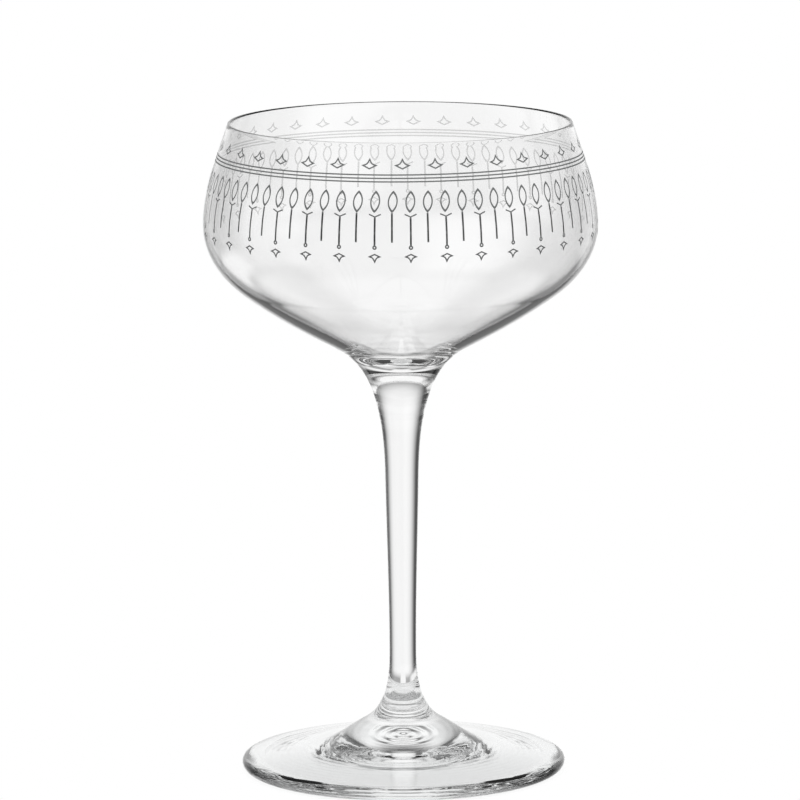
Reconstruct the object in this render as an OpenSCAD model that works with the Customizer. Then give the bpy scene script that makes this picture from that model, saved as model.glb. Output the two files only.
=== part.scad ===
// Stemmed cocktail glass with a broad bowl that curves in to the rim.
// A blown bowl, a drawn stem and a pressed foot are fused together while hot.
// Every outline runs smoothly through a few stations: [radius, height, lean].
// The lean is the wall's angle from the vertical on the way up, positive outwards.

/* [Bowl] */
// Height of the bowl, from its weld with the stem to the top of the rim
bowl_h = 64; // [58:0.5:72]
// Outside diameter of the rim
rim_d = 82.8; // [76:0.2:88]
// Angle by which the wall leans in at the rim
rim_lean = 18; // [8:1:26]
// Outside diameter at the widest point, the belly
belly_d = 94.9; // [90:0.1:100]
// Height of the belly above the weld
belly_h = 39.3; // [37:0.1:44]
// Outside diameter where the cone turns into the belly
cone_d = 77.2; // [74:0.1:80]
// Height of that turn above the weld
cone_h = 23.4; // [22:0.1:25]
// Lean of the wall at that turn
cone_lean = 52.5; // [48:0.5:56]
// Outside diameter where the neck opens into the cone
throat_d = 31.6; // [28:0.1:35]
// Height of the throat above the weld
throat_h = 9.5; // [8.5:0.1:10.5]
// Lean of the wall at the throat
throat_lean = 62; // [56:1:66]

/* [Bowl wall] */
// Thickness of the fire-polished lip
lip_t = 0.7; // [0.6:0.1:1.4]
// Wall thickness at the throat, where the wall runs into the solid base
throat_t = 2.1; // [1.6:0.1:2.6]
// How the wall thins from the throat up to the lip: 1 is an even taper, more keeps the upper wall thin
thinning = 1.5; // [1:0.5:4]
// Solid glass between the weld and the inside bottom, on the axis
base_t = 6.5; // [6:0.1:7.2]

/* [Stem] */
// Length of the stem between its two welds
stem_l = 82; // [70:1:100]
// Diameter at the upper weld
neck_d = 15; // [13:0.1:17]
// Lean of the wall at the upper weld
neck_lean = 22; // [16:1:28]
// Diameter of the shaft below the neck
shaft_d = 8.1; // [7:0.1:9.5]
// Height of that shaft diameter above the lower weld
shaft_h = 60; // [52:1:64]
// Lean of the shaft there
shaft_lean = 1; // [0.5:0.1:3]
// Diameter at the waist, the thinnest point of the stem
waist_d = 6.5; // [5.5:0.1:8]
// Height of the waist above the lower weld
waist_h = 18; // [14:1:26]

/* [Foot] */
// Height of the foot, from the table to its weld with the stem
foot_h = 12; // [11:0.1:13]
// Diameter of the foot
foot_d = 78.4; // [76:0.2:84]
// Diameter at the lower weld
root_d = 19.1; // [17:0.1:21]
// Angle by which the wall leans in at the lower weld
root_lean = 61; // [54:1:66]
// Diameter where the shoulder runs out into the pad
skirt_d = 31.6; // [29:0.2:35]
// Height of that turn above the table
skirt_h = 6.5; // [6:0.1:7]
// Angle by which the surface leans in at that turn
skirt_lean = 80; // [76:1:84]
// Diameter where the sloping pad turns into the rounded edge
pad_d = 72; // [68:0.2:74]
// Height of the pad at the edge
pad_h = 3.6; // [3.2:0.1:4]
// Angle by which the pad leans in at the edge
pad_lean = 82; // [79:1:86]
// Height of the widest point of the rounded edge
edge_h = 1.8; // [1.2:0.1:2.4]
// Outer diameter of the flat ring that stands on the table
ring_outer_d = 74; // [72:0.2:75]
// Inner diameter of that ring
ring_inner_d = 69; // [64:0.2:70]
// Rise of the hollow underside on the axis
hollow_h = 3.7; // [3:0.1:4.2]

/* [Hidden] */

// Points on each smooth stretch between two stations, and round the lip
steps = 16;
lip_steps = 8;
facets = 128;
glass = [0.88, 0.92, 0.91, 0.45];

// Heights of the two welds and of the rim
lower_weld = foot_h;
upper_weld = lower_weld + stem_l;
rim_z = upper_weld + bowl_h;

// Stations that neighbouring pieces share, so that their outlines run on without a step
root = [root_d / 2, lower_weld, -root_lean];
neck = [neck_d / 2, upper_weld, neck_lean];

// Stations of the bowl's outside
throat = [throat_d / 2, upper_weld + throat_h, throat_lean];
cone = [cone_d / 2, upper_weld + cone_h, cone_lean];
belly = [belly_d / 2, upper_weld + belly_h, 0];
lip_r = lip_t / 2;
lip_centre = [rim_d / 2 - lip_r, rim_z - lip_r];

// Stations of the stem
waist = [waist_d / 2, lower_weld + waist_h, 0];
shaft = [shaft_d / 2, lower_weld + shaft_h, shaft_lean];

// Stations of the foot; the hollow is a shallow dome, so its slope at the ring is twice the chord's
ring_inner = [ring_inner_d / 2, 0, -90 + 2 * atan(2 * hollow_h / ring_inner_d)];
ring_outer = [ring_outer_d / 2, 0, 90];
edge = [foot_d / 2, edge_h, 0];
pad = [pad_d / 2, pad_h, -pad_lean];
skirt = [skirt_d / 2, skirt_h, -skirt_lean];
hollow_top = [0, hollow_h, -90];

// Direction of travel along a wall, and the direction from its outside to its inside
function along(lean) = [sin(lean), cos(lean)];
function inwards(lean) = [-cos(lean), sin(lean)];

// Place of a station without its lean, and the lean of the way from one point to another
function place(station) = [station[0], station[1]];
function lean_between(a, b) = atan2(b[0] - a[0], b[1] - a[1]);

// Smooth stretch from one station to the next, without its last point.
// Its handles are those of a circular arc with the same turn, so equal turns make round arcs.
function stretch(from, to) =
    let (
        start = place(from),
        end = place(to),
        reach = norm(end - start) * 2 / 3 / (1 + cos((to[2] - from[2]) / 2)),
        leave = start + reach * along(from[2]),
        arrive = end - reach * along(to[2])
    )
    [for (i = [0:steps - 1])
        let (t = i / steps, u = 1 - t)
        pow(u, 3) * start + 3 * u * u * t * leave + 3 * u * t * t * arrive + pow(t, 3) * end];

// Outline through a list of stations, to the last one
function outline(stations) =
    let (last = len(stations) - 1)
    concat([for (k = [0:last - 1]) each stretch(stations[k], stations[k + 1])], [place(stations[last])]);

function backwards(points) = [for (i = [len(points) - 1:-1:0]) points[i]];

// Round lip: a half circle from the outside of the wall over the top to the inside
function lip_point(turn) = lip_centre + lip_r * [cos(turn), sin(turn)];
lip_outside = concat(lip_point(rim_lean), [-rim_lean]);
lip_inside = concat(lip_point(rim_lean + 180), [-rim_lean]);
lip_arc = [for (i = [1:lip_steps - 1]) lip_point(rim_lean + 180 * i / lip_steps)];

// Outside of the bowl from the weld up to the lip; the throat ends its first stretch
bowl_outside = outline([neck, throat, cone, belly, lip_outside]);

// Wall thickness at a height of the outside
function wall(z) = lip_t + (throat_t - lip_t) * pow((lip_outside[1] - z) / (lip_outside[1] - throat[1]), thinning);

// Inside of the bowl: a rounded bottom up to the throat, and from there the outside moved in, square to the
// wall, by the thickness that the wall has there
inner_wall = [for (i = [steps:len(bowl_outside) - 2])
    let (lean = lean_between(bowl_outside[i - 1], bowl_outside[i + 1]))
    bowl_outside[i] + wall(bowl_outside[i][1]) * inwards(lean)];
bottom_edge = concat(inner_wall[0], [lean_between(inner_wall[0], inner_wall[1])]);
bowl_inside = concat(
    stretch([0, upper_weld + base_t, 90], bottom_edge),
    inner_wall,
    [place(lip_inside)]
);

// Volume to the brim in millilitres, as a stack of frusta
function frustum(a, b) = PI / 3 * (b[1] - a[1]) * (a[0] * a[0] + a[0] * b[0] + b[0] * b[0]);
function total(values) = [for (v = values) 1] * values;
brimful_ml = total([for (i = [1:len(bowl_inside) - 1]) frustum(bowl_inside[i - 1], bowl_inside[i])]) / 1000;
echo(height_mm = rim_z, brimful_ml = brimful_ml);

module turned(points) {
    rotate_extrude($fn = facets) polygon(points);
}

// Thin-walled bowl with a solid base, closed below by its weld face
module bowl() {
    color(glass)
    turned(concat(bowl_outside, lip_arc, backwards(bowl_inside), [[0, upper_weld]]));
}

// Solid stem, drawn thin at the waist and flared into both welds
module stem() {
    color(glass)
    turned(concat([[0, lower_weld]], outline([root, waist, shaft, neck]), [[0, upper_weld]]));
}

// Pressed foot: a shoulder, a gently sloping pad, a rounded edge, a standing ring and a hollow underside
module foot() {
    underside = backwards(outline([ring_inner, hollow_top]));
    upper_side = outline([ring_outer, edge, pad, skirt, root]);
    color(glass)
    turned(concat(underside, upper_side, [[0, lower_weld]]));
}

bowl();
stem();
foot();
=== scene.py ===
# %% [markdown]
# # A stemmed cocktail glass with an etched border
# The glass is three pieces that were fused while hot: a blown bowl, a drawn stem and a pressed foot.
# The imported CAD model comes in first, as a fixed frame in metres. Every piece made here sits where its
# solid is, apart from a softer slope on the foot. The sizes are in millimetres, as a maker writes them.

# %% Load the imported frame
import math

import bpy
import numpy as np
from mathutils import Matrix, Vector


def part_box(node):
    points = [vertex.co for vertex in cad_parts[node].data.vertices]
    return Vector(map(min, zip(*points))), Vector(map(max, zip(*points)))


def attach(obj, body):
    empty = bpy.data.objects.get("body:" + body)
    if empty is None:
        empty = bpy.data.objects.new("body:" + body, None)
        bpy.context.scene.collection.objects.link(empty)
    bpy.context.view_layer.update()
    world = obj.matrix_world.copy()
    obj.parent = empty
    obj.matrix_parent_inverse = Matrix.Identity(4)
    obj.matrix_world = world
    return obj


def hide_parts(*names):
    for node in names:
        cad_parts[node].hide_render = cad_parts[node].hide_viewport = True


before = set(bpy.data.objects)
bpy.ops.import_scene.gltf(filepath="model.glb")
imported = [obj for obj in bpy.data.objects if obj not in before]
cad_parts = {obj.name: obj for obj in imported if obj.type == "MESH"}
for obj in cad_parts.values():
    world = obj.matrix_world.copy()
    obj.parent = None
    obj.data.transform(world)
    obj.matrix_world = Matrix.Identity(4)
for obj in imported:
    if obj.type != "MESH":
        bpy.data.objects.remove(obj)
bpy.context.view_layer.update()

MM = 0.001

# %% [markdown]
# ## Heights that the pieces share
# Each node's box gives the heights of the two welds and of the rim, and the widest radius of bowl and
# foot. Reading them from the frame keeps the dressed model on the solids. The etched lines will stand a
# little proud of the bowl, so the bowl is drawn in by as much.

# %% Measure the frame
PROUD = 0.01

stem_low, stem_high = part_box("stem")
bowl_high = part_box("bowl")[1]
foot_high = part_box("foot")[1]
lower_weld = stem_low.z / MM
upper_weld = stem_high.z / MM
rim_height = bowl_high.z / MM
belly_radius = min(bowl_high.x, bowl_high.y) / MM - PROUD
foot_radius = foot_high.x / MM
print(f"welds {lower_weld:.2f} and {upper_weld:.2f}, rim {rim_height:.2f}, belly radius {belly_radius:.2f}")

# %% [markdown]
# ## Smooth outlines
# A glassmaker shapes a profile with a few firm points and lets the hot glass run smoothly between them.
# The same is done here: a station is a radius, a height and the wall's lean from the vertical, and one
# cubic stretch joins each pair. Many short steps keep the bends in the glass free of facets.

# %% Stations and stretches
STEPS = 28


def along(lean):
    """Direction of travel up a wall that leans outwards by this angle, as (radius, height)."""
    return np.array([math.sin(math.radians(lean)), math.cos(math.radians(lean))])


def stretch(a, b):
    """Points from station a up to, but without, station b."""
    start, end = np.array(a[:2]), np.array(b[:2])
    half_turn = math.radians(b[2] - a[2]) / 2
    reach = np.linalg.norm(end - start) * 2 / 3 / (1 + math.cos(half_turn))
    leave, arrive = start + reach * along(a[2]), end - reach * along(b[2])
    t = np.linspace(0, 1, STEPS, endpoint=False)[:, None]
    u = 1 - t
    return u**3 * start + 3 * u * u * t * leave + 3 * u * t * t * arrive + t**3 * end


def outline(stations):
    """The whole outline through a list of stations, as rows of (radius, height)."""
    pairs = zip(stations[:-1], stations[1:])
    return np.vstack([stretch(a, b) for a, b in pairs] + [np.array(stations[-1][:2])])


# Stations that two neighbours share, so that the glass runs on without a step
root = (9.55, lower_weld, -61)
neck = (7.5, upper_weld, 22)
print(f"shared stations: radius {root[0]} at height {root[1]:.2f}, radius {neck[0]} at height {neck[1]:.2f}")

# %% [markdown]
# ## Turning an outline into a mesh
# Round glassware is a surface of revolution. Blender's Screw modifier can turn an outline, but a small
# function leaves full control: single points on the axis, and a separate finish for the weld faces.
# The weld faces touch their neighbour, where the real glass has run together and shows nothing.

# %% The lathe
SEGMENTS = 288
WELD_GAP = 0.004
ON_AXIS = 1e-6


def lathe(name, profile, finishes, weld_rows=()):
    """Turns a profile from axis to axis into a closed mesh; the rows in weld_rows take the weld finish."""
    angles = np.linspace(0, 2 * math.pi, SEGMENTS, endpoint=False)
    ring = np.stack([np.cos(angles), np.sin(angles)], axis=1)
    verts, rows = [], []
    for radius, height in profile:
        first = len(verts)
        if radius < ON_AXIS:
            verts.append((0.0, 0.0, height * MM))
            rows.append([first] * SEGMENTS)
        else:
            verts += [(radius * x * MM, radius * y * MM, height * MM) for x, y in ring]
            rows.append(list(range(first, first + SEGMENTS)))
    faces, finish, sharp = [], [], set()
    for k in range(len(rows) - 1):
        low, high = rows[k], rows[k + 1]
        for i in range(SEGMENTS):
            j = (i + 1) % SEGMENTS
            corners = [low[i], low[j], high[j], high[i]]
            faces.append(list(dict.fromkeys(corners)))
            finish.append(1 if k in weld_rows else 0)
        if k in weld_rows:
            sharp.update(low + high)
    mesh = bpy.data.meshes.new(name)
    mesh.from_pydata(verts, [], faces)
    mesh.polygons.foreach_set("material_index", finish)
    mesh.shade_smooth()
    for edge in mesh.edges:
        edge.use_edge_sharp = edge.vertices[0] in sharp and edge.vertices[1] in sharp
    for surface in finishes:
        mesh.materials.append(surface)
    piece = bpy.data.objects.new(name, mesh)
    bpy.context.scene.collection.objects.link(piece)
    print(f"{name}: {len(verts)} points, {len(faces)} faces")
    return piece


# %% [markdown]
# ## Nodes and colours
# Materials are built in code, so one small function adds a node, sets it and links its inputs. Colours
# are written as sRGB hex, as a picture editor shows them, and turned to the linear values that shaders use.

# %% Helpers for materials
def linear(hex_colour):
    """sRGB hex to a linear RGBA tuple."""
    parts = [int(hex_colour[i:i + 2], 16) / 255 for i in (1, 3, 5)]
    return tuple(c / 12.92 if c <= 0.04045 else ((c + 0.055) / 1.055) ** 2.4 for c in parts) + (1.0,)


def add(tree, kind, inputs=None, **settings):
    """Adds one node; an input that is given a socket is linked, and any other value is set."""
    node = tree.nodes.new(kind)
    for name, value in settings.items():
        setattr(node, name, value)
    for key, value in (inputs or {}).items():
        if isinstance(value, bpy.types.NodeSocket):
            tree.links.new(value, node.inputs[key])
        else:
            node.inputs[key].default_value = value
    return node


def material(name):
    """A new node material with nothing in it but its output."""
    made = bpy.data.materials.new(name)
    made.use_nodes = True
    made.node_tree.nodes.clear()
    return made, made.node_tree, add(made.node_tree, "ShaderNodeOutputMaterial")


# %% [markdown]
# ## Clear glass, blown, drawn and pressed
# All three pieces are clear soda-lime glass with a fire-polished surface: no grain, only the bend of light
# and a mirror gloss that grows towards the edges. Glass is seen by what it refracts, so the material stays
# simple and the light does the drawing. Blowing and drawing leave a faint, broad ripple, and pressing
# leaves fine rings as well. They are far too shallow for a mesh, so a bump draws them.

# %% Glass materials
GLASS_IOR = 1.51
RIPPLE_HEIGHT = 0.1


def clear_glass(name, tint, ripple_mm, ripple_strength, ring_mm=0, ring_height=0):
    """Smooth clear glass with a ripple of this length and, where ring_mm is given, rings round the axis."""
    made, tree, out = material(name)
    place = add(tree, "ShaderNodeTexCoord")
    ripple = add(tree, "ShaderNodeTexNoise", {
        "Vector": place.outputs["Object"], "Scale": 1 / (ripple_mm * MM), "Detail": 1.0})
    bump = add(tree, "ShaderNodeBump", {
        "Height": ripple.outputs["Fac"], "Strength": ripple_strength, "Distance": RIPPLE_HEIGHT * MM})
    if ring_mm:
        # A wave texture repeats every pi / 10 units at scale 1; the distortion makes the rings uneven
        rings = add(tree, "ShaderNodeTexWave", {
            "Vector": place.outputs["Object"], "Scale": math.pi / 10 / (ring_mm * MM), "Distortion": 4.0,
            "Detail": 2.0, "Detail Scale": 0.02}, wave_type="RINGS", rings_direction="Z")
        bump = add(tree, "ShaderNodeBump", {
            "Height": rings.outputs["Fac"], "Strength": 1.0, "Distance": ring_height * MM,
            "Normal": bump.outputs["Normal"]})
    glass = add(tree, "ShaderNodeBsdfPrincipled", {
        "Base Color": linear(tint), "Roughness": 0.0, "IOR": GLASS_IOR,
        "Transmission Weight": 1.0, "Normal": bump.outputs["Normal"]})
    tree.links.new(glass.outputs["BSDF"], out.inputs["Surface"])
    return made


# Blown and drawn glass look clean and bright; the broad ripple only makes their reflections a little soft
blown_glass = clear_glass("blown_soda_lime_glass", "#fdfdfd", 30, 0.02)
drawn_glass = clear_glass("drawn_soda_lime_glass", "#fdfdfd", 20, 0.02)
# Pressed glass is thicker, with a trace of green, and its rings break the light in the edge into streaks
pressed_glass = clear_glass("pressed_soda_lime_glass", "#fbfcfc", 12, 0.05, ring_mm=1.6, ring_height=0.006)

# The hot weld: the glass has run together, so light passes it as if nothing were there
weld, weld_tree, weld_out = material("fused_weld")
through = add(weld_tree, "ShaderNodeBsdfTransparent", {"Color": linear("#ffffff")})
weld_tree.links.new(through.outputs["BSDF"], weld_out.inputs["Surface"])
print("glass materials:", blown_glass.name, drawn_glass.name, pressed_glass.name, weld.name)

# %% [markdown]
# ## The bowl
# The outside rises from the neck through the throat, the cone and the belly to a fire-polished lip. Blown
# glass thins as it swells, so the wall is thick at the throat and thin above the belly. Light that is
# caught in the wall draws the grey bands down both sides, and they follow its thickness. The rounded
# bottom lies above solid glass, which gathers the dark lens at the foot of the bowl.

# %% Bowl
LIP_THICKNESS = 0.7
RIM_RADIUS = 41.4
RIM_LEAN = 18
THROAT_THICKNESS = 2.1
THINNING = 1.5
BASE_THICKNESS = 6.5
LIP_STEPS = 16

throat = (15.8, upper_weld + 9.5, 62)
cone = (38.6, upper_weld + 23.4, 52.5)
belly = (belly_radius, upper_weld + 39.3, 0)
lip_centre = np.array([RIM_RADIUS - LIP_THICKNESS / 2, rim_height - LIP_THICKNESS / 2])
lip_turns = np.radians(RIM_LEAN + np.linspace(0, 180, LIP_STEPS + 1))
lip = lip_centre + LIP_THICKNESS / 2 * np.stack([np.cos(lip_turns), np.sin(lip_turns)], axis=1)
lip_outside = (*lip[0], -RIM_LEAN)

bowl_outside = outline([neck, throat, cone, belly, lip_outside])

# The inside is the outside moved in, square to the wall, by the thickness that the wall has there
wall_travel = np.gradient(bowl_outside, axis=0)
wall_lean = np.arctan2(wall_travel[:, 0], wall_travel[:, 1])
below_lip = (lip_outside[1] - bowl_outside[:, 1]) / (lip_outside[1] - throat[1])
wall = LIP_THICKNESS + (THROAT_THICKNESS - LIP_THICKNESS) * np.maximum(below_lip, 0) ** THINNING
square_in = np.stack([-np.cos(wall_lean), np.sin(wall_lean)], axis=1)
inner_wall = (bowl_outside + square_in * wall[:, None])[STEPS:-1]
bottom_lean = math.degrees(math.atan2(*(inner_wall[1] - inner_wall[0])))
bottom = stretch((0, upper_weld + BASE_THICKNESS, 90), (*inner_wall[0], bottom_lean))
bowl_inside = np.vstack([bottom, inner_wall, lip[-1:]])
for place_name, k in (("throat", 1), ("cone", 2), ("belly", 3)):
    print(f"wall at the {place_name}: {wall[k * STEPS]:.2f}")

weld_face = np.array([[0, upper_weld], [neck[0], upper_weld]]) + (0, WELD_GAP / 2)
bowl = lathe(
    "bowl_blown", np.vstack([weld_face, bowl_outside[1:], lip[1:-1], bowl_inside[::-1]]),
    [blown_glass, weld], weld_rows=[0])
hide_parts("bowl")
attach(bowl, "root")

# %% [markdown]
# ## The stem
# The stem was drawn out of the hot bowl, so it is thick at the neck, thins to a waist and flares into
# the foot. It is solid, and works as a long round lens: a bright core between two dark edges.

# %% Stem
waist = (3.25, lower_weld + 18, 0)
shaft = (4.05, lower_weld + 60, 1)
shank = outline([root, waist, shaft, neck])
shank[0, 1] += WELD_GAP / 2
shank[-1, 1] -= WELD_GAP / 2
stem_profile = np.vstack([[[0, shank[0, 1]]], shank, [[0, shank[-1, 1]]]])
stem = lathe("stem_drawn", stem_profile, [drawn_glass, weld], weld_rows=[0, len(stem_profile) - 2])
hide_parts("stem")
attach(stem, "root")

# %% [markdown]
# ## The underside of the foot
# A flat ring stands on the table round a shallow hollow. Pressing leaves a small mark of faint rings in the
# middle of the hollow, and the glass above shows it as a ringed eye. A bump could fake the rings, but they
# are part of the turned outline here, so that they bend the light as real ones do.

# %% Underside
RING_INNER = 34.5
HOLLOW = 3.7
MARK_RADIUS = 7
MARK_RING = 2.2
MARK_DEPTH = 0.2
MARK_STEPS = 56
MARK_CLEARANCE = 0.3

ring_inner = (RING_INNER, 0, -90 + 2 * math.degrees(math.atan(HOLLOW / RING_INNER)))
hollow = outline([ring_inner, (0, HOLLOW, -90)])[::-1]
mark_radii = np.linspace(0, MARK_RADIUS, MARK_STEPS + 1)
mark_rings = (1 - np.cos(2 * math.pi * mark_radii / MARK_RING)) / 2 * (1 - (mark_radii / MARK_RADIUS) ** 4)
mark_heights = np.interp(mark_radii, hollow[:, 0], hollow[:, 1]) + MARK_DEPTH * mark_rings
beyond_mark = hollow[hollow[:, 0] > MARK_RADIUS + MARK_CLEARANCE]
underside = np.vstack([np.stack([mark_radii, mark_heights], axis=1), beyond_mark])
print(f"hollow {HOLLOW} high, with a mark {2 * MARK_RADIUS} across and {MARK_DEPTH} deep")

# %% [markdown]
# ## The foot
# The foot was pressed: below the stem a soft shoulder slopes out into a gently falling pad with a rounded
# edge. The shoulder follows the photograph, where it is up to 1.6 mm fuller than on the solid. The whole
# outline runs from the middle of the hollow round the edge and up to the weld, so one turn makes the piece.

# %% Foot
ring_outer = (37, 0, 90)
edge = (foot_radius, 1.8, 0)
pad = (36, 3.6, -82)
skirt = (20, 6.3, -77)
upper_side = outline([ring_outer, edge, pad, skirt, root])
upper_side[-1, 1] -= WELD_GAP / 2
foot_profile = np.vstack([underside, upper_side, [[0, upper_side[-1, 1]]]])
foot = lathe("foot_pressed", foot_profile, [pressed_glass, weld], weld_rows=[len(foot_profile) - 2])
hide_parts("foot")
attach(foot, "root")

# %% [markdown]
# ## Drawing on the bowl
# The border is etched into the outside of the bowl: acid eats a shallow line that scatters light. A
# picture on the surface could do it, but each line here is a real thin band let into the wall, so it
# keeps its edges from any side. A motif is drawn flat, in millimetres across and up, and then laid on.

# %% Laying flat points on the wall
SUNK = 0.04
wall_radius, wall_height = bowl_outside[:, 0], bowl_outside[:, 1]


def on_wall(centre_degrees, flat):
    """Outer and inner points for flat (across, height) points round an angle measured from the front."""
    across, height = np.asarray(flat, float).T
    radius = np.interp(height, wall_height, wall_radius)
    lean = np.interp(height, wall_height, wall_lean)
    turn = math.radians(centre_degrees) + across / radius
    sides = []
    for lift in (PROUD, -SUNK):
        r, z = radius + lift * np.cos(lean), height - lift * np.sin(lean)
        sides.append(np.stack([r * np.sin(turn), -r * np.cos(turn), z], axis=1) * MM)
    return sides


# %% [markdown]
# ## Bands of etching
# Every motif is made of closed bands: a left and a right line of points, laid on the wall at two depths.
# A class collects the bands of one row, so that the row becomes a single piece with clean, closed meshes.

# %% Collecting bands
class Etching:
    """Collects closed bands on the bowl's wall and makes one piece of them."""

    def __init__(self):
        self.verts, self.faces, self.finish = [], [], []

    def band(self, centre_degrees, left, right, closed):
        """A band between two lines of flat points that run side by side."""
        count, first = len(left), len(self.verts)
        for line in (left, right):
            for side in on_wall(centre_degrees, line):
                self.verts += side.tolist()
        left_out, left_in, right_out, right_in = (first + count * k for k in range(4))
        for i in range(count if closed else count - 1):
            j = (i + 1) % count
            # The inner face, in slot 1, takes the finish that paints the light from behind
            for a, b, shade in ((left_out, right_out, 0), (right_out, right_in, 0),
                                (right_in, left_in, 1), (left_in, left_out, 0)):
                self.faces.append((a + i, b + i, b + j, a + j))
                self.finish.append(shade)
        if not closed:
            for i, order in ((0, (left_out, left_in, right_in, right_out)),
                             (count - 1, (left_out, right_out, right_in, left_in))):
                self.faces.append(tuple(corner + i for corner in order))
                self.finish.append(0)

    def piece(self, name, finishes):
        """Makes one object of all bands; the first finish is for the outside, the second, painted light from
        behind, for the inside.
        """
        mesh = bpy.data.meshes.new(name)
        mesh.from_pydata(self.verts, [], self.faces)
        mesh.polygons.foreach_set("material_index", self.finish)
        for finish in finishes:
            mesh.materials.append(finish)
        made = bpy.data.objects.new(name, mesh)
        bpy.context.scene.collection.objects.link(made)
        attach(made, "root")
        print(f"{name}: {len(self.faces)} faces")


# %% [markdown]
# ## Acid-etched lines
# Etching leaves a matt, finely pitted surface. From outside it scatters the dim room back at the eye, so
# the near lines read grey against the bright glass; their grey is partly painted shade, darker than the
# whitish etching itself. Seen through the bowl, the far lines are lit from behind and read pale. That light
# is painted: each band's inner face, and any face seen from behind, is a pale see-through sheet.

# %% Etched finishes
# Real pits are some hundredths of a millimetre wide; they are drawn coarser, so that they show at all
PIT_MM = 0.25
# Colour of the painted light from behind: a pale see-through sheet on the inner faces
BACKLIGHT_PAINT = "#ededed"


def etched(name, light_colour, dark_colour):
    """Matt pitted glass from outside, its grey partly painted shade, and on faces seen from behind a pale
    see-through sheet of painted light.
    """
    made, tree, out = material(name)
    place = add(tree, "ShaderNodeTexCoord")
    pits = add(tree, "ShaderNodeTexNoise", {
        "Vector": place.outputs["Object"], "Scale": 1 / (PIT_MM * MM), "Detail": 2.0})
    shade = add(tree, "ShaderNodeMix", {
        "Factor": pits.outputs["Fac"], "A": linear(dark_colour), "B": linear(light_colour)},
        data_type="RGBA")
    matt = add(tree, "ShaderNodeBsdfPrincipled", {
        "Base Color": shade.outputs["Result"], "Roughness": 0.7, "IOR": GLASS_IOR})
    backlit_sheet = add(tree, "ShaderNodeBsdfTransparent", {"Color": linear(BACKLIGHT_PAINT)})
    # Painted light: a face seen from behind shows the pale see-through sheet instead of the matt etching
    side = add(tree, "ShaderNodeNewGeometry")
    both = add(tree, "ShaderNodeMixShader", {
        0: side.outputs["Backfacing"], 1: matt.outputs["BSDF"], 2: backlit_sheet.outputs["BSDF"]})
    tree.links.new(both.outputs[0], out.inputs["Surface"])
    return made


# These greys are partly the etching's own tone and partly painted shade
etched_shaded_outside = etched("acid_etched_line", "#868888", "#5e6060")
# Painted light: the inner face of each band is a pale see-through sheet, for the light from behind
etched_backlit_inside, backlit_tree, backlit_out = material("acid_etched_line_painted_backlight")
painted_backlight_sheet = add(backlit_tree, "ShaderNodeBsdfTransparent", {"Color": linear(BACKLIGHT_PAINT)})
backlit_tree.links.new(painted_backlight_sheet.outputs["BSDF"], backlit_out.inputs["Surface"])
ETCHED = [etched_shaded_outside, etched_backlit_inside]
print("etched finishes:", [finish.name for finish in ETCHED])

# %% [markdown]
# ## The row of stars
# Thirty-five four-pointed stars stand under the rim. Each is a kite with a spike above hollowed sides and
# a short keel below. Half of it is drawn and mirrored, and a copy moved inwards makes its outline a line.

# %% Stars
REPEATS = 35
LINE_WIDTH = 0.31
STAR_HEIGHT = 152.95
STAR_TURN = 0.7
STAR_HALF_WIDTH, STAR_SPIKE, STAR_KEEL = 1.98, 1.68, 0.95
# Points of a star's hollowed side, as shares of its half width and of its spike
STAR_HOLLOW = ((0.52, 0.17), (0.36, 0.27), (0.24, 0.45))


def inset(outer, width):
    """The outline moved inwards by a line's width, with mitred corners; it runs anticlockwise."""
    along_edge = np.roll(outer, -1, axis=0) - outer
    along_edge /= np.linalg.norm(along_edge, axis=1)[:, None]
    after = np.stack([-along_edge[:, 1], along_edge[:, 0]], axis=1)
    before = np.roll(after, 1, axis=0)
    mitre = (before + after) / (1 + np.sum(before * after, axis=1))[:, None]
    return outer + mitre * width


def star(half_width, spike, keel):
    """Half a star's outline from its keel over a side tip to its spike, mirrored to a whole one."""
    side = [(across * half_width, up * spike) for across, up in STAR_HOLLOW]
    right = np.array([(0, -keel), (half_width, 0)] + side + [(0, spike)])
    left = right[-2:0:-1] * (-1, 1)
    return np.vstack([right, left])


stars = Etching()
star_outline = star(STAR_HALF_WIDTH, STAR_SPIKE, STAR_KEEL) + (0, STAR_HEIGHT)
for k in range(REPEATS):
    stars.band(STAR_TURN + k * 360 / REPEATS, inset(star_outline, LINE_WIDTH), star_outline, closed=True)
stars.piece("etched_star_row", ETCHED)

# %% [markdown]
# ## The three lines
# Below the stars three fine lines run right round the glass. Each is one closed band, turned with as many
# steps as the bowl itself, so it stays at the same depth in the wall all the way.

# %% Lines
LINE_HEIGHTS = (150.8, 150.03, 149.25)

lines = Etching()
round_wall = np.linspace(-math.pi, math.pi, SEGMENTS, endpoint=False)
for line_height in LINE_HEIGHTS:
    edges = []
    for z in (line_height - LINE_WIDTH / 2, line_height + LINE_WIDTH / 2):
        across = round_wall * np.interp(z, wall_height, wall_radius)
        edges.append(np.stack([across, np.full(SEGMENTS, z)], axis=1))
    lines.band(0, edges[1], edges[0], closed=True)
lines.piece("etched_line_band", ETCHED)

# %% [markdown]
# ## Shapes of leaf and stalk
# Under the lines hang seventy pointed leaves, each the outline where two arcs meet, and each on a stalk.
# Two small functions draw them flat: one gives both edges of the leaf's line, and the other turns a path
# of points into a stroke of even width.

# %% Leaf and stroke
LEAF_TOP, LEAF_BOTTOM, LEAF_WIDTH, LEAF_TILT = 147.3, 142.2, 2.34, 0.35
LEAF_STEPS = 16
# The line meets itself at a leaf's tips, so there its inner edge stays back by more than its width
TIP_LINES = 2.0


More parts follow.
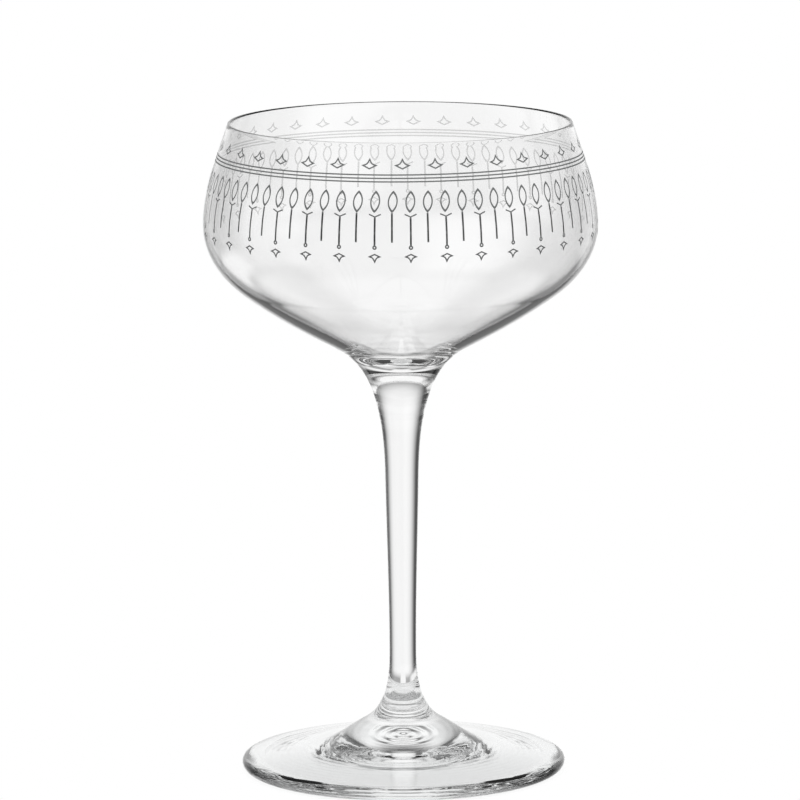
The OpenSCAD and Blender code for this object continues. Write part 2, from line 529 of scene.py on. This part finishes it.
def leaf_ring():
    """Outer and inner outline of a leaf: two arcs that meet in a point at both ends."""
    rings = []
    for side_cut, tip_cut in ((0, 0), (LINE_WIDTH, TIP_LINES * LINE_WIDTH)):
        half_w, half_h = LEAF_WIDTH / 2 - side_cut, (LEAF_TOP - LEAF_BOTTOM) / 2 - tip_cut
        arc_radius = (half_h**2 + half_w**2) / (2 * half_w)
        up = np.linspace(-half_h, half_h, LEAF_STEPS + 1)
        bulge = np.sqrt(arc_radius**2 - up**2) - (arc_radius - half_w)
        right = np.stack([bulge, up], axis=1)
        left = np.stack([-bulge, up], axis=1)[::-1]
        ring = np.vstack([right[:-1], left[:-1]])
        ring[:, 0] += LEAF_TILT * ring[:, 1] / (LEAF_TOP - LEAF_BOTTOM)
        ring[:, 1] += (LEAF_TOP + LEAF_BOTTOM) / 2
        rings.append(ring)
    return rings


def stroke(points, width):
    """Left and right edges of a stroke of even width along flat points."""
    path = np.array(points, float)
    ahead = np.gradient(path, axis=0)
    ahead /= np.linalg.norm(ahead, axis=1)[:, None]
    offset = np.stack([-ahead[:, 1], ahead[:, 0]], axis=1) * width / 2
    return path + offset, path - offset


leaf_outer, leaf_inner = leaf_ring()
print(f"leaf: {LEAF_TOP - LEAF_BOTTOM:.1f} high, {LEAF_WIDTH} wide, {len(leaf_outer)} points")

# %% [markdown]
# ## Stalks with leaves, and the drops under them
# Every second stalk is longer: it has a small winged bract under its leaf and a bead at its end, and points
# at a drop. A drop is a star that hangs, turned half round so that its spike points down. A stalk's middle
# point keeps it on the curved wall.

# %% Stalks, bracts, beads and drops
STALK_TURN = 2.9
STALK_WIDTH = 0.44
PLAIN_STALK = (LEAF_BOTTOM, 138.6, 135.4)
BRACTED_STALK = (141.2, 137.6, 134.7)
BRACT = ((-1.4, 141.9), (-0.8, 141.65), (0, 141.3), (0.8, 141.65), (1.4, 141.9))
BEAD_HEIGHT, BEAD_OUTER, BEAD_INNER, BEAD_STEPS = 134.2, 0.52, 0.18, 20
DROP_HEIGHT, DROP_HALF_WIDTH, DROP_SPIKE, DROP_KEEL = 132.03, 1.62, 1.6, 0.75

stalks = Etching()
drops = Etching()
leaf_foot = -LEAF_TILT / 2
bead_turns = np.linspace(0, 2 * math.pi, BEAD_STEPS, endpoint=False)
bead = np.stack([np.cos(bead_turns), np.sin(bead_turns)], axis=1)
bead_inner, bead_outer = (bead * radius + (0, BEAD_HEIGHT) for radius in (BEAD_INNER, BEAD_OUTER))
drop_outline = star(DROP_HALF_WIDTH, DROP_SPIKE, DROP_KEEL) * -1 + (0, DROP_HEIGHT)
for k in range(REPEATS):
    bracted = STALK_TURN + k * 360 / REPEATS
    plain = bracted - 180 / REPEATS
    for centre in (plain, bracted):
        stalks.band(centre, leaf_inner, leaf_outer, closed=True)
    stalks.band(plain, *stroke([(leaf_foot, z) for z in PLAIN_STALK], STALK_WIDTH), closed=False)
    stalks.band(bracted, *stroke(BRACT, LINE_WIDTH), closed=False)
    stalks.band(bracted, *stroke([(0, z) for z in BRACTED_STALK], STALK_WIDTH), closed=False)
    stalks.band(bracted, bead_inner, bead_outer, closed=True)
    drops.band(bracted, inset(drop_outline, LINE_WIDTH), drop_outline, closed=True)
stalks.piece("etched_stalk_row", ETCHED)
drops.piece("etched_drop_row", ETCHED)

# %% [markdown]
# ## Table
# The photograph's ground is plain white, so only a small round table top lies under the foot. It lies a
# hair below the standing ring, because two faces in the same place would flicker.

# %% Table top
TABLE_RADIUS = 56
TABLE_DROP = 0.1
TABLE_POINTS = 96

table_mesh = bpy.data.meshes.new("table")
table_turns = np.linspace(0, 2 * math.pi, TABLE_POINTS, endpoint=False)
table_rim = np.stack([
    TABLE_RADIUS * np.cos(table_turns), TABLE_RADIUS * np.sin(table_turns),
    np.full(TABLE_POINTS, -TABLE_DROP)], axis=1)
table_mesh.from_pydata((table_rim * MM).tolist(), [], [list(range(TABLE_POINTS))])
floor = bpy.data.objects.new("table", table_mesh)
bpy.context.scene.collection.objects.link(floor)
print(f"table: radius {TABLE_RADIUS}, {TABLE_DROP} below the standing ring")

# %% [markdown]
# ## White laminate
# For the camera, and in what the glass mirrors and bends, the table is nearly as bright as the background.
# The rest of it is an ordinary matt surface, which keeps the soft shadow of the glass. Under the stem the
# glow is held back, a painted shadow drawn darker like the core of a shadow, and at the edge of the foot the
# table fades out.

# %% Table finish
FADE_FROM, FADE_TO = 34, 41
# Painted shadow under the stem: the table's glow stays low out to the first radius and is full from the
# second
PAINTED_SHADOW_FROM, PAINTED_SHADOW_TO = 10, 13
PAINTED_SHADOW_GLOW, TABLE_GLOW = 0.1, 0.8

white_table, tree, out = material("white_laminate")
path = add(tree, "ShaderNodeLightPath")
place = add(tree, "ShaderNodeTexCoord")
matt = add(tree, "ShaderNodeBsdfDiffuse", {"Color": linear("#f4f4f4")})
glow = add(tree, "ShaderNodeEmission", {"Color": linear("#ffffff"), "Strength": 1.0})
seen = add(tree, "ShaderNodeMath", {0: path.outputs["Is Camera Ray"], 1: path.outputs["Is Glossy Ray"]},
           operation="MAXIMUM")
seen = add(tree, "ShaderNodeMath", {0: seen.outputs[0], 1: path.outputs["Is Transmission Ray"]},
           operation="MAXIMUM")
reach = add(tree, "ShaderNodeVectorMath", {0: place.outputs["Object"]}, operation="LENGTH")
# Painted shadow: the glow share is low under the stem and full beyond it
painted_shadow = add(tree, "ShaderNodeMapRange", {
    "Value": reach.outputs["Value"], "From Min": PAINTED_SHADOW_FROM * MM, "From Max": PAINTED_SHADOW_TO * MM,
    "To Min": PAINTED_SHADOW_GLOW, "To Max": TABLE_GLOW}, interpolation_type="SMOOTHSTEP")
share = add(tree, "ShaderNodeMath", {0: seen.outputs[0], 1: painted_shadow.outputs[0]}, operation="MULTIPLY")
lit_table = add(tree, "ShaderNodeMixShader", {
    0: share.outputs[0], 1: matt.outputs[0], 2: glow.outputs[0]})
fade = add(tree, "ShaderNodeMapRange", {
    "Value": reach.outputs["Value"], "From Min": FADE_FROM * MM, "From Max": FADE_TO * MM},
    interpolation_type="SMOOTHSTEP")
clear = add(tree, "ShaderNodeBsdfTransparent")
faded = add(tree, "ShaderNodeMixShader", {
    0: fade.outputs[0], 1: lit_table.outputs[0], 2: clear.outputs[0]})
tree.links.new(faded.outputs[0], out.inputs["Surface"])
table_mesh.materials.append(white_table)
print(f"{white_table.name}: fades out from {FADE_FROM} to {FADE_TO} mm")

# %% [markdown]
# ## Bright-field studio
# Glass is lit from behind: a white panel behind it fills its body with light, and the dim room beside the
# panel draws its edges dark. Lit planes could stand in for the panels, but drawn in the world they take no
# place in the scene, and the camera sees plain white behind the glass.

# %% Panels
# Level of the room outside the panels
DIM = 0.09
# Each panel: compass direction, half width and soft border, then the heights in degrees at which its light
# begins, is full, starts to fade and ends, and last its level
PANELS = (
    # The white panel behind the glass, and the dimmer sweep below it
    (87, 2, 48, -26, -18, 8, 50, 1.0),
    (87, 2, 48, -40, -32, -11, 0, 0.36),
    # A narrow strip down the middle of the sweep, which fills the bottom of the bowl
    (90, 5, 5, -46, -41, -5, 5, 1.0),
    # Low reflectors on both sides, which lift the sides of the bowl
    (40, 30, 25, -66, -58, -44, -36, 0.65),
    (140, 30, 25, -66, -58, -44, -36, 0.65),
    # The ground all round, seen through the bowl from above
    (90, 179, 0.5, -90, -89, -60, -50, 0.65),
    # Panels behind the glass for a look from the front right, from the side and from the back left
    (135, 10, 24, -38, -33, -23, -18, 1.0),
    (186, 12, 18, -42, -30, 8, 20, 1.0),
    (315, 16, 28, -52, -40, 8, 20, 1.0),
    # A broad reflector above the camera
    (270, 70, 40, 14, 36, 80, 90, 0.9),
)
# Heights at which the bright ceiling begins and is full
CEILING_FROM, CEILING_FULL = 42, 60
print(f"{len(PANELS)} panels in a room at level {DIM}")

# %% [markdown]
# ## The panels as a world
# A world shader is asked for the light from every direction. A direction splits into a compass direction
# and a height, and each panel has a soft border across, one below and one above. Where panels overlap, the
# brightest counts.

# %% World
world = bpy.data.worlds.new("bright_field_studio")
bpy.context.scene.world = world
world.use_nodes = True
tree = world.node_tree
tree.nodes.clear()
out = add(tree, "ShaderNodeOutputWorld")
path = add(tree, "ShaderNodeLightPath")
place = add(tree, "ShaderNodeTexCoord")
split = add(tree, "ShaderNodeSeparateXYZ", {0: place.outputs["Generated"]})
flat = add(tree, "ShaderNodeCombineXYZ", {"X": split.outputs["X"], "Y": split.outputs["Y"]})
compass = add(tree, "ShaderNodeVectorMath", {0: flat.outputs[0]}, operation="NORMALIZE")


def sine(degrees):
    return math.sin(math.radians(degrees))


def cosine(degrees):
    return math.cos(math.radians(degrees))


ceiling = add(tree, "ShaderNodeMapRange", {
    "Value": split.outputs["Z"], "From Min": sine(CEILING_FROM), "From Max": sine(CEILING_FULL)},
    interpolation_type="SMOOTHSTEP")
lit = ceiling.outputs[0]
for direction, half_width, soft, begins, full, fades, ends, level in PANELS:
    aim = (cosine(direction), sine(direction), 0)
    facing = add(tree, "ShaderNodeVectorMath", {0: compass.outputs[0], 1: aim}, operation="DOT_PRODUCT")
    # Each border: what is measured, where the panel is dark and where it is bright
    borders = (
        (facing.outputs["Value"], cosine(half_width + soft), cosine(half_width)),
        (split.outputs["Z"], sine(begins), sine(full)),
        (split.outputs["Z"], sine(ends), sine(fades)),
    )
    panel = level
    for measure, dark, bright in borders:
        border = add(tree, "ShaderNodeMapRange", {
            "Value": measure, "From Min": dark, "From Max": bright}, interpolation_type="SMOOTHSTEP")
        within = add(tree, "ShaderNodeMath", {0: border.outputs[0], 1: panel}, operation="MULTIPLY")
        panel = within.outputs[0]
    brightest = add(tree, "ShaderNodeMath", {0: lit, 1: panel}, operation="MAXIMUM")
    lit = brightest.outputs[0]
strength = add(tree, "ShaderNodeMapRange", {"Value": lit, "To Min": DIM, "To Max": 1.0})
strength = add(tree, "ShaderNodeMath", {
    0: strength.outputs[0], 1: path.outputs["Is Camera Ray"]}, operation="MAXIMUM")
studio = add(tree, "ShaderNodeBackground", {"Color": linear("#ffffff"), "Strength": strength.outputs[0]})
tree.links.new(studio.outputs[0], out.inputs["Surface"])
print(f"world: {len(tree.nodes)} nodes")

# %% [markdown]
# ## Overhead softbox
# One broad lamp above the glass lights the table and the matt lines evenly. The panels already draw the
# reflections, so the lamp itself isn't mirrored in the glass or seen through it.

# %% Lamp
SOFTBOX_HEIGHT = 0.9
softbox = bpy.data.lights.new("softbox", "AREA")
softbox.shape = "DISK"
softbox.size = 0.7
softbox.energy = 6.5
lamp = bpy.data.objects.new("softbox", softbox)
lamp.location = (0, 0, SOFTBOX_HEIGHT)
lamp.visible_glossy = False
lamp.visible_transmission = False
bpy.context.scene.collection.objects.link(lamp)
print(f"softbox: {softbox.size:.1f} m wide, {softbox.energy:.1f} W, {SOFTBOX_HEIGHT} m up")

# %% [markdown]
# ## Camera
# A long lens from a little above the rim, aimed at the middle of the glass, with the slight roll that the
# photograph has. The rim's and the foot's ellipses in the photograph give its height and distance.

# %% Camera
CAMERA_PLACE = Vector((0, -1.5036, 0.3414))
CAMERA_AIM = Vector((-0.00037, 0, 0.0904))
CAMERA_ROLL = math.radians(0.33)
ahead = (CAMERA_AIM - CAMERA_PLACE).normalized()
level_right = ahead.cross(Vector((0, 0, 1))).normalized()
level_up = level_right.cross(ahead)
right = level_right * math.cos(CAMERA_ROLL) - level_up * math.sin(CAMERA_ROLL)
upright = level_right * math.sin(CAMERA_ROLL) + level_up * math.cos(CAMERA_ROLL)
camera_data = bpy.data.cameras.new("camera")
camera_data.lens = 284.4
camera_data.sensor_width = 36
camera = bpy.data.objects.new("camera", camera_data)
turned = Matrix((right, upright, -ahead)).transposed()
camera.matrix_world = Matrix.Translation(CAMERA_PLACE) @ turned.to_4x4()
bpy.context.scene.collection.objects.link(camera)
bpy.context.scene.camera = camera
bpy.context.scene.view_settings.view_transform = "Standard"
print(f"camera: {math.degrees(math.asin(-ahead.z)):.1f} degrees down, lens {camera_data.lens:.1f} mm")

# %% [markdown]
# ## Light paths
# Light that enters thick glass is mirrored inside it many times before it leaves, and each inner
# reflection counts as a glossy bounce. With the standard four, the edge of the foot would end in plain
# black. With twelve, most of the light gets out, and the edge has the streaks of the real one.

# %% Light paths
light_paths = bpy.context.scene.cycles
light_paths.max_bounces = 32
light_paths.glossy_bounces = 12
light_paths.transmission_bounces = 32
light_paths.transparent_max_bounces = 32
print("glossy bounces:", light_paths.glossy_bounces)
